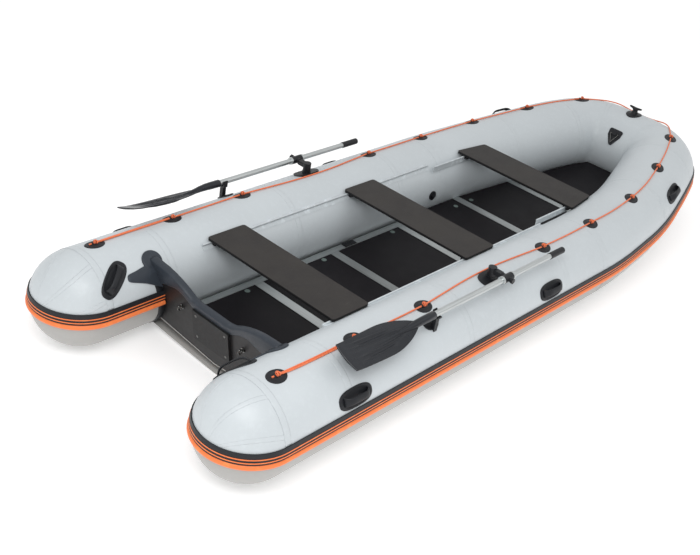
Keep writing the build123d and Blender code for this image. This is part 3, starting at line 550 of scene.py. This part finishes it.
# ---- bottom -----------------------------------------------------------------------------------------------
def bottom_sheet():
    """The bottom's cloth: a taut V between the tubes that rises at the bow."""
    low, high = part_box("bottom_skin")
    columns, rows = 28, 48
    thick = 0.0018
    upper, lower = [], []
    for i in range(rows + 1):
        x = low.x + (high.x - low.x) * i / rows
        centre, _ = at_reach(reach_of(min(x, BOW_X - 0.06)))
        edge_y, edge_z = 0.121, math.sqrt(TUBE_R ** 2 - 0.121 ** 2)
        half, side_z = centre.y - edge_y, centre.z - edge_z
        share = max(0, (x - (DATUM + BOW_BEND)) / (high.x - (DATUM + BOW_BEND))) ** 2
        keel = 0.0045 + share * (TUBE_R + BOW_RISE[-1] - edge_z - 0.031)
        for j in range(columns + 1):
            t = 2 * j / columns - 1
            curve = abs(t) ** 1.15
            z = keel + (side_z - keel) * curve
            upper.append(Vector((x, half * t, z + thick)))
            lower.append(Vector((x, half * t, z)))
    faces = []
    stride = columns + 1
    base = len(upper)
    for i in range(rows):
        for j in range(columns):
            a = i * stride + j
            quad = (a, a + 1, a + stride + 1, a + stride)
            faces.append(quad)
            faces.append(tuple(base + k for k in reversed(quad)))
    rim = [j for j in range(stride)] + [i * stride + columns for i in range(1, rows + 1)]
    rim += [rows * stride + j for j in range(columns - 1, -1, -1)] + [i * stride for i in range(rows - 1, 0, -1)]
    for a, b in zip(rim, rim[1:] + rim[:1]):
        faces.append((b, a, base + a, base + b))
    piece = make("bottom_cloth", upper + lower, faces)
    paint(piece, M["hull_fabric"], "hull_fabric")
    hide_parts("bottom_skin")


# ---- lifeline -----------------------------------------------------------------------------------------------
EYES = ((0.067, 82.0), (0.532, 81.5), (1.008, 79.5), (2.016, 79.5), (2.502, 80.0),
        (3.002, 77.0), (3.489, 79.0), (3.900, 84.0))
ROPE_R = 0.0043
ROPE_LIFT = 0.007
OARLOCK_X = 1.515
NEAR_EYE = 0.034           # the rope bends this near to an eye
SLACK_LIFT = 0.0046        # the rope's middle lies this far off the skin between eyes


def smooth_line(points, fineness=14):
    """Points along a NURBS through the given route."""
    curve = bpy.data.curves.new("route", "CURVE")
    curve.dimensions = "3D"
    spline = curve.splines.new("NURBS")
    spline.points.add(len(points) - 1)
    for slot_, point in zip(spline.points, points):
        slot_.co = (*point, 1)
    spline.order_u = 3
    spline.use_endpoint_u = True
    spline.resolution_u = fineness
    holder = bpy.data.objects.new("route", curve)
    mesh = bpy.data.meshes.new_from_object(holder)
    line = [v.co.copy() for v in mesh.vertices]
    bpy.data.objects.remove(holder)
    bpy.data.meshes.remove(mesh)
    return line


def even(line, step):
    """The same line with points a fixed step apart."""
    out, left = [line[0]], step
    for a, b in zip(line, line[1:]):
        length = (b - a).length
        gone = 0.0
        while length - gone >= left and length > 0:
            gone += left
            out.append(a.lerp(b, gone / length))
            left = step
        left -= length - gone
    return out


def rope_mesh(line, radius=ROPE_R, strands=8, pitch=0.022, step=0.0028, around=12):
    """A braided cord: crossing ridges wind both ways round the line."""
    line = even(line, step)
    rings = []
    turn_per_step = math.tau * step / pitch
    for i, (point, head) in enumerate(zip(line, headings(line))):
        side = UP.cross(head)
        side = side.normalized() if side.length > 0.1 else Vector((1, 0, 0)).cross(head).normalized()
        top = head.cross(side)
        ring = []
        for j in range(around):
            a = math.tau * j / around
            ridge = math.sin(strands / 2 * a + turn_per_step * i * 2) * math.sin(strands / 2 * a - turn_per_step * i * 2)
            ring.append(point + (side * math.cos(a) + top * math.sin(a)) * radius * (0.93 + 0.07 * ridge))
        rings.append(ring)
    return loft(rings)


def rope_route():
    """Port half of the lifeline's route, stern to bow."""
    spots = [(reach_of(DATUM + x), angle) for x, angle in EYES]
    route = [on_tube(spots[0][0], spots[0][1], -0.030, 0, ROPE_LIFT)]
    for i, (distance, angle) in enumerate(spots):
        route.append(on_tube(distance, angle, -NEAR_EYE / 2, 0, ROPE_LIFT))
        route.append(on_tube(distance, angle, NEAR_EYE / 2, 0, ROPE_LIFT))
        if i + 1 < len(spots):
            following, other = spots[i + 1]
            if i == 2:
                route.append(on_tube(reach_of(DATUM + OARLOCK_X), 89.0, 0, 0, SLACK_LIFT))
            else:
                route.append(on_tube((distance + following) / 2, (angle + other) / 2 - 0.8, 0, 0, SLACK_LIFT))
    front = BOW_X + (TUBE_R + ROPE_LIFT) * math.sin(math.radians(38))
    front_z = TUBE_R + BOW_RISE[-1] + (TUBE_R + ROPE_LIFT) * math.cos(math.radians(38))
    route += [Vector((BOW_X + 0.110, 0.215, front_z + 0.034)), Vector((front, 0.075, front_z))]
    return route


def knot(distance, angle, side):
    """The bight of cord tied round an eye: two snug turns and a short tail."""
    centre = on_tube(distance, angle, 0.004, 0, ROPE_LIFT + 0.006, side)
    normal = (centre - on_tube(distance, angle, 0.004, 0, 0, side)).normalized()
    along = (on_tube(distance, angle, 0.05, 0, 0, side) - on_tube(distance, angle, 0, 0, 0, side)).normalized()
    across = normal.cross(along)
    line = []
    for i in range(61):
        t = math.tau * 2 * i / 60
        radius = 0.0095 + 0.0022 * math.cos(1.5 * t)
        line.append(centre + along * (0.0065 * math.sin(0.5 * t)) + across * (radius * math.cos(t))
                    + normal * (0.0075 * math.sin(t) - 0.001))
    tail = line[-1]
    line += [tail + along * 0.006 * k - across * 0.0022 * k * k * 0.3 - normal * 0.0018 * k for k in range(1, 5)]
    return rope_mesh(line, ROPE_R * 0.82, step=0.0020, around=10)


def lifeline():
    """The grab rope, with the doubled stretch at each stern and a knot at every eye."""
    half = rope_route()
    whole = half + [Vector((p.x, -p.y, p.z)) for p in reversed(half)]
    parts = [rope_mesh(smooth_line(whole))]
    for side in (1, -1):
        tail = []
        for distance, angle, lift in ((EYES[0][0] - 0.012, 82.0, 0.0085), (EYES[0][0] + 0.05, 79.9, 0.0052),
                                      (0.300, 79.2, SLACK_LIFT), (EYES[1][0] - 0.05, 79.4, 0.0052),
                                      (EYES[1][0] + 0.012, 81.2, 0.0085)):
            tail.append(on_tube(reach_of(DATUM + distance), angle, 0, 0, lift, side))
        parts.append(rope_mesh(smooth_line(tail)))
        parts += [knot(reach_of(DATUM + x), angle, side) for x, angle in EYES]
    piece = make("lifeline_rope", *join(parts))
    paint(piece, M["orange_rope"], "orange_rope")
    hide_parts("lifeline")


# ---- glued fittings ----------------------------------------------------------------------------------------------
def oval_pad(place, half_long, half_wide, profile, around=56, power=2.0):
    """Rings of an oval that follow the skin: profile is (share of the outline, height)."""
    rings = []
    for share, height in profile:
        ring = []
        for j in range(around):
            a = math.tau * j / around
            c, s = math.cos(a), math.sin(a)
            u = half_long * share * math.copysign(abs(c) ** (2 / power), c)
            v = half_wide * share * math.copysign(abs(s) ** (2 / power), s)
            ring.append(place(u, v, height))
        rings.append(ring)
    return loft(rings)


def tube_place(distance, angle, side, turn=0.0):
    """Maps (u, v, height) near a spot onto the tube's skin."""
    t = math.radians(turn)

    def place(u, v, height):
        along, round_ = u * math.cos(t) - v * math.sin(t), u * math.sin(t) + v * math.cos(t)
        return on_tube(distance, angle, along, round_, height, side)
    return place


def arch(place, half_gap, rise, bar, width, segments=18):
    """A flat strap that stands as an arch across the rope."""
    rings = []
    for i in range(segments + 1):
        a = math.pi * i / segments
        inner = (half_gap * math.cos(a), 0.001 + rise * math.sin(a))
        outer = ((half_gap + bar) * math.cos(a), 0.001 + (rise + bar) * math.sin(a))
        rings.append([place(-width / 2, *inner), place(width / 2, *inner),
                      place(width / 2 * 0.8, *outer), place(-width / 2 * 0.8, *outer)])
    return loft(rings)


def rope_patches():
    """Oval rubber pads with a dished rim, a raised boss and the eye that holds the rope."""
    parts = []
    profile = ((1.0, -0.0006), (1.0, 0.0016), (0.95, 0.0030), (0.84, 0.0034), (0.72, 0.0026),
               (0.56, 0.0030), (0.50, 0.0046), (0.30, 0.0052), (0.0, 0.0053))
    for side in (1, -1):
        for x, angle in EYES:
            place = tube_place(reach_of(DATUM + x), angle, side)
            parts.append(oval_pad(place, 0.052, 0.040, profile))
            for shift in (-0.0125, 0.0125):
                near = lambda u, v, h, s=shift: place(u + s, v, h)
                parts.append(arch(near, 0.0062, 0.0100, 0.0034, 0.008))
    piece = make("lifeline_pads", *join(parts))
    paint(piece, M["black_rubber"], "black_rubber")
    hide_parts("lifeline_patches")


HANDLE_SPOTS = ((0.383, 25.0, 0.0), (1.900, 25.0, 0.0), (0.030, 137.0, -42.0))
BOW_HANDLE = (3.414, 36.0, 0.0)


def handle_parts(place):
    """A pill-shaped base with a raised lip and a bridged, rounded grip over a finger well."""
    rim = ((1.0, -0.0006), (1.0, 0.002), (0.975, 0.0042), (0.90, 0.0058), (0.83, 0.0054),
           (0.78, 0.0036), (0.60, 0.0032), (0.0, 0.0030))
    parts = [oval_pad(place, 0.1025, 0.046, rim, 72, 2.7)]
    rings = []
    steps = 40
    for i in range(steps + 1):
        t = 2 * i / steps - 1
        u = 0.075 * math.copysign(abs(t) ** 0.92, t)
        rise = (1 - abs(t) ** 4.5)
        centre = 0.004 + 0.0285 * rise
        half_wide = 0.0165 - 0.003 * rise + 0.004 * abs(t) ** 6
        half_thick = 0.0048 + 0.001 * (1 - rise)
        ring = []
        for j in range(20):
            a = math.tau * j / 20
            c, s = math.cos(a), math.sin(a)
            v = half_wide * math.copysign(abs(c) ** 0.8, c)
            ring.append(place(u, v, max(0.001, centre + half_thick * math.copysign(abs(s) ** 0.8, s))))
        rings.append(ring)
    parts.append(loft(rings))
    return parts


def handles():
    for name, node, spots in (("side", "grab_handles", HANDLE_SPOTS), ("bow", "bow_handles", (BOW_HANDLE,))):
        parts = []
        for side in (1, -1):
            for x, angle, turn in spots:
                distance = reach_of(DATUM + x) if DATUM + x > DOME_X else DATUM + x - DOME_X
                parts += handle_parts(tube_place(distance, angle, side, turn))
        piece = make(f"{name}_moulded_handles", *join(parts))
        paint(piece, M["black_rubber"], "black_rubber")
        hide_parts(node)


def cleat():
    """Bow cleat: an oval foot, a waisted post and two upturned horns."""
    low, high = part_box("bow_cleat")
    middle = (low + high) / 2
    top = TUBE_R + BOW_RISE[-1]

    def place(u, v, height):
        a = u / TUBE_R
        return Vector((BOW_X + (TUBE_R + height) * math.sin(a), v, top + (TUBE_R + height) * math.cos(a)))
    foot = ((1.0, -0.0006), (1.0, 0.002), (0.96, 0.0045), (0.86, 0.0056), (0.55, 0.0066),
            (0.42, 0.010), (0.36, 0.018), (0.0, 0.018))
    parts = [oval_pad(place, 0.066, 0.050, foot, 64)]
    skin = top + TUBE_R
    rings = []
    for height, half_x, half_y in ((0.010, 0.025, 0.024), (0.018, 0.020, 0.019), (0.028, 0.0175, 0.017),
                                   (0.036, 0.0195, 0.021), (0.042, 0.0205, 0.024)):
        rings.append([Vector((middle.x + half_x * math.cos(math.tau * j / 28),
                              half_y * math.sin(math.tau * j / 28), skin + height)) for j in range(28)])
    parts.append(loft(rings))
    rings = []
    for i in range(25):
        t = 2 * i / 24 - 1
        y = 0.046 * t
        lift = skin + 0.041 + 0.006 * abs(t) ** 1.6
        half_x = 0.0125 * (1 - 0.35 * abs(t) ** 2) * (1 if abs(t) < 0.97 else 0.6)
        half_z = 0.0088 * (1 - 0.45 * abs(t) ** 2) * (1 if abs(t) < 0.97 else 0.6)
        rings.append([Vector((middle.x + half_x * math.cos(math.tau * j / 20), y,
                              lift + half_z * math.sin(math.tau * j / 20))) for j in range(20)])
    parts.append(loft(rings))
    piece = make("bow_bollard", *join(parts))
    paint(piece, M["black_plastic"], "black_plastic")
    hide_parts("bow_cleat")


# ---- transom -----------------------------------------------------------------------------------------------------
WINGS = ((0.0, 0.0), (0.100, 0.0), (0.140, 0.008), (0.190, 0.036), (0.232, 0.0545), (0.280, 0.070),
         (0.332, 0.0815), (0.390, 0.086), (0.441, 0.087))
SKIRTS = ((0.0, 0.028), (0.20, 0.030), (0.25, 0.040), (0.31, 0.072), (0.37, 0.100), (0.45, 0.115))


def along(table, value):
    """Value read from a table of (place, amount), eased between its rows."""
    for (a, low), (b, high) in zip(table, table[1:]):
        if value <= b:
            return low + (high - low) * (value - a) / (b - a)
    return table[-1][1]


def transom_point(y, up, aft):
    """Point from the cut-out's aft edge: up the board, and aft of its face."""
    c, s = math.cos(TRANSOM_LEAN), math.sin(TRANSOM_LEAN)
    return Vector((TRANSOM_X - up * s - aft * c, y, CUTOUT_Z + up * c - aft * s))


def transom_cap():
    """Moulded saddle over the transom's top edge; its skirts deepen into the arms at each tube."""
    slack, wall, reach = 0.0006, 0.0045, 0.4385
    rings = []
    steps = 96
    for i in range(steps + 1):
        y = reach * (1 - 2 * i / steps)
        top, skirt = along(WINGS, abs(y)) + slack, along(SKIRTS, abs(y))
        out, back = wall, -TRANSOM_T - wall
        swell = 0.004 * max(0.0, (abs(y) - 0.24) / 0.2)
        section = [(slack, -skirt), (out * 0.7, -skirt - 0.002), (out + swell, -skirt * 0.9),
                   (out + swell, -0.004), (out * 0.9, 0.0035), (out * 0.4, 0.0068),
                   (-TRANSOM_T * 0.5, 0.0084), (back + wall * 0.6, 0.0068), (back * 1.0, 0.0035),
                   (back, -0.006), (back, -0.026), (back + wall * 0.3, -0.030), (-TRANSOM_T - slack, -0.030),
                   (-TRANSOM_T - slack, 0.0), (slack, 0.0)]
        rings.append([transom_point(y, top + up, aft) for aft, up in section])
    piece = make("transom_top_cap", *loft(rings))
    paint(piece, M["slate_moulding"], "slate_moulding")
    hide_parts("transom_cap")


HOLDER_SPOT = (0.265, 130.0)
HOLDER_OUTLINE = ((44, 30), (20, 12), (-20, 10), (-60, 16), (-113, 25), (-156, 31), (-166, 46), (-160, 66),
                  (-91, 92), (-45, 114), (-2, 136), (30, 148), (54, 136), (60, 108), (55, 80), (50, 52))
HOLDER_DISC = (-5, 4, 0.054)


def smooth_loop(points, fineness=5):
    """Closed curve through points."""
    out, n = [], len(points)
    for i in range(n):
        p0, p1, p2, p3 = (Vector(points[(i + k) % n]) for k in (-1, 0, 1, 2))
        for k in range(fineness):
            t = k / fineness
            out.append(0.5 * (2 * p1 + (p2 - p0) * t + (2 * p0 - 5 * p1 + 4 * p2 - p3) * t * t
                              + (3 * p1 - p0 - 3 * p2 + p3) * t ** 3))
    return out


def transom_arms():
    """Moulded holders glued to the tubes: a round boss, a fin that points aft and a fairing to the cap."""
    outline = smooth_loop(HOLDER_OUTLINE)
    middle = Vector((-20, 72))
    profile = ((1.0, -0.6), (1.0, 3.0), (0.985, 5.0), (0.955, 6.4), (0.90, 6.8), (0.80, 6.6), (0.60, 7.4), (0.35, 8.2), (0.0, 8.6))
    boss = ((1.0, -0.6), (1.0, 4.0), (0.98, 6.6), (0.93, 8.3), (0.86, 8.9), (0.80, 8.2), (0.45, 8.4), (0.0, 9.2))
    parts = []
    for side in (1, -1):
        place = tube_place(reach_of(DATUM + HOLDER_SPOT[0]), HOLDER_SPOT[1], side)
        rings = []
        for share, height in profile:
            ring = [middle + (p - middle) * share for p in outline]
            rings.append([place(p.x / 1000, p.y / 1000, height / 1000) for p in ring])
        parts.append(loft(rings))
        u0, v0, radius = HOLDER_DISC
        seat = tube_place(reach_of(DATUM + HOLDER_SPOT[0] + u0 / 1000),
                          HOLDER_SPOT[1] + math.degrees(v0 / 1000 / TUBE_R), side)
        parts.append(oval_pad(seat, radius, radius, [(share, height / 1000) for share, height in boss], 48))
    piece = make("transom_arms", *join(parts))
    paint(piece, M["slate_moulding"], "slate_moulding")
    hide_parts("transom_holders")


def transom_flanges():
    """Rubber angle strips that bond the transom's faces to the tubes."""
    parts = []
    for side in (1, -1):
        for depth, start, end in ((0.0, -0.040, 0.001), (TRANSOM_T, -0.001, 0.036)):
            rings = []
            for i in range(31):
                angle = 158 + 90 * i / 30
                z = TUBE_R + TUBE_R * math.sin(math.radians(angle))
                x = TRANSOM_X + (CUTOUT_Z - z) * math.tan(TRANSOM_LEAN) + depth / math.cos(TRANSOM_LEAN)
                rings.append([on_tube(reach_of(x), angle, u, 0, lift, side)
                              for u, lift in ((start, 0.0), (start + 0.002, 0.0026),
                                              (end - 0.002, 0.0026), (end, 0.0))])
            parts.append(loft(rings))
    piece = make("transom_flanges", *join(parts))
    paint(piece, M["black_rubber"], "black_rubber")


# ---- oar blades -------------------------------------------------------------------------------------------------
BLADE_L, BLADE_W = 0.575, 0.160
BLADE_ROLL = 22.0
OAR_AFT = 0.600


def blade_half(t):
    """Half width of the blade, t from its throat (0) to its tip (1)."""
    full = math.sin(min(1.0, t / 0.50) * math.pi / 2) ** 0.72
    taper = 1 - 0.09 * max(0.0, (t - 0.50) / 0.50) ** 1.4
    return BLADE_W / 2 * full * taper


def oar_blades():
    """Spoon-shaped moulded blades: a spine down the middle and four long ribs beside it."""
    rows, columns = 72, 56
    throat = 0.085
    for name, side in (("port", 1), ("starboard", -1)):
        low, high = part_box(f"{name}_oarlock_sleeve")
        shaft_y = (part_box(f"{name}_oar_shaft")[0].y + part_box(f"{name}_oar_shaft")[1].y) / 2
        shaft_z = (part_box(f"{name}_oar_shaft")[0].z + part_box(f"{name}_oar_shaft")[1].z) / 2
        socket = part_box(f"{name}_oar_shaft")[0]
        origin = Vector((socket.x, shaft_y, shaft_z))
        roll = Matrix.Rotation(math.radians(-BLADE_ROLL * side), 3, "X")

        def spoon(x):
            """Height of the blade's middle at x aft of the socket."""
            t = max(0.0, min(1.0, (x - throat) / (BLADE_L - throat)))
            return -0.016 * math.sin(math.pi * t) + 0.018 * t ** 2

        def surface(t, s, face):
            x = throat + (BLADE_L - throat) * t
            half = max(0.006, blade_half(t))
            y = half * s
            tip = 0.010 * (1 - s * s) * max(0, t - 0.97) / 0.03
            rib = 0.0
            for centre, start in ((0.36, 0.20), (0.68, 0.34), (-0.36, 0.20), (-0.68, 0.34)):
                grow = max(0.0, min(1.0, (t - start) / 0.10)) * max(0.0, min(1.0, (0.93 - t) / 0.22))
                rib += 0.0064 * grow * math.exp(-((s - centre * (0.62 + 0.38 * t)) / 0.06) ** 2)
            backbone = 0.0105 * math.exp(-((y) / 0.008) ** 2) * max(0.0, 1 - t * 1.05)
            edge = 0.0026 + 0.0012 * (1 - abs(s))
            dish = 0.010 * s * s * math.sin(math.pi * min(1, t * 1.1))
            height = spoon(x) + dish + face * (edge + (rib + backbone) * (1.0 if face > 0 else 0.8))
            return origin + roll @ Vector((-(x + tip), y, height))
        rings = []
        for i in range(rows + 1):
            t = i / rows
            upper = [surface(t, 2 * j / columns - 1, 1) for j in range(columns + 1)]
            lower = [surface(t, 1 - 2 * j / columns, -1) for j in range(columns + 1)]
            rings.append(upper + lower)
        parts = [loft(rings)]
        neck = []
        for x, ry, rz in ((-0.025, 0.0190, 0.0190), (-0.022, 0.0202, 0.0202), (0.030, 0.0200, 0.0200),
                          (0.070, 0.0195, 0.0185), (0.110, 0.0190, 0.0160), (0.160, 0.0150, 0.0125),
                          (0.220, 0.0095, 0.0100), (0.250, 0.0040, 0.0060)):
            centre = Vector((-x, 0, spoon(x) + 0.002 * min(1, max(0, x) / 0.1)))
            neck.append([origin + roll @ (centre + Vector((0, ry * math.cos(math.tau * j / 32),
                                                           rz * math.sin(math.tau * j / 32))))
                         for j in range(32)])
        parts.append(loft(neck))
        piece = make(f"{name}_spoon_blade", *join(parts), body=f"{name}_oar")
        paint(piece, M["blade_plastic"], "black_plastic")
        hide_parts(f"{name}_oar_blade")


# ---- room, light and camera -------------------------------------------------------------------------------------------
def stage():
    work = bmesh.new()
    bmesh.ops.create_grid(work, x_segments=2, y_segments=2, size=30)
    mesh = bpy.data.meshes.new("floor")
    work.to_mesh(mesh)
    work.free()
    floor = bpy.data.objects.new("floor", mesh)
    floor.location.z = -0.001
    bpy.context.scene.collection.objects.link(floor)
    shade = Shade("studio_floor", (0.93, 0.93, 0.93), 0.9)
    shade.shader.inputs["Emission Color"].default_value = (1, 1, 1, 1)
    shade.shader.inputs["Emission Strength"].default_value = 0.30
    shade.vary_color(shade.noise(0.4, 2), (0.94, 0.94, 0.94))
    floor.data.materials.append(shade.material)


def lamp(name, place, target, size, power, color=(1, 1, 1)):
    light = bpy.data.lights.new(name, "AREA")
    light.shape = "RECTANGLE"
    light.size, light.size_y = size
    light.energy = power
    light.color = color
    holder = bpy.data.objects.new(name, light)
    holder.location = place
    holder.rotation_euler = (Vector(target) - Vector(place)).to_track_quat("-Z", "Y").to_euler()
    bpy.context.scene.collection.objects.link(holder)


def studio():
    world = bpy.data.worlds.new("studio")
    world.use_nodes = True
    background = world.node_tree.nodes["Background"]
    background.inputs["Color"].default_value = (1, 1, 1, 1)
    background.inputs["Strength"].default_value = 0.76
    bpy.context.scene.world = world
    lamp("key", (-3.4, -1.6, 3.6), (-1.2, -0.2, 0.3), (2.4, 1.8), 70)
    lamp("fill", (1.5, -2.5, 4.2), (0.6, 0, 0.3), (3.0, 3.0), 14)
    bpy.context.scene.view_settings.view_transform = "Standard"


CAMERA_AT = (-4.5950, -2.9909, 3.1350)
CAMERA_YAW, CAMERA_PITCH, CAMERA_ROLL = 0.66293, -0.54072, 0.17426
CAMERA_LENS = 55.457


def camera():
    look = Vector((math.cos(CAMERA_PITCH) * math.cos(CAMERA_YAW),
                   math.cos(CAMERA_PITCH) * math.sin(CAMERA_YAW), math.sin(CAMERA_PITCH)))
    right = look.cross(UP).normalized()
    top = right.cross(look)
    c, s = math.cos(CAMERA_ROLL), math.sin(CAMERA_ROLL)
    rolled_right = right * c + top * s
    rolled_top = top * c - right * s
    data = bpy.data.cameras.new("camera")
    data.lens = CAMERA_LENS
    data.sensor_width = 36.0
    holder = bpy.data.objects.new("camera", data)
    turn = Matrix((rolled_right, rolled_top, -look)).transposed().to_4x4()
    holder.matrix_world = Matrix.Translation(CAMERA_AT) @ turn
    bpy.context.scene.collection.objects.link(holder)
    bpy.context.scene.camera = holder


finish_cad_nodes()
air_chambers()
seams()
bottom_sheet()
lifeline()
rope_patches()
handles()
cleat()
transom_cap()
transom_arms()
transom_flanges()
oar_blades()
stage()
studio()
camera()
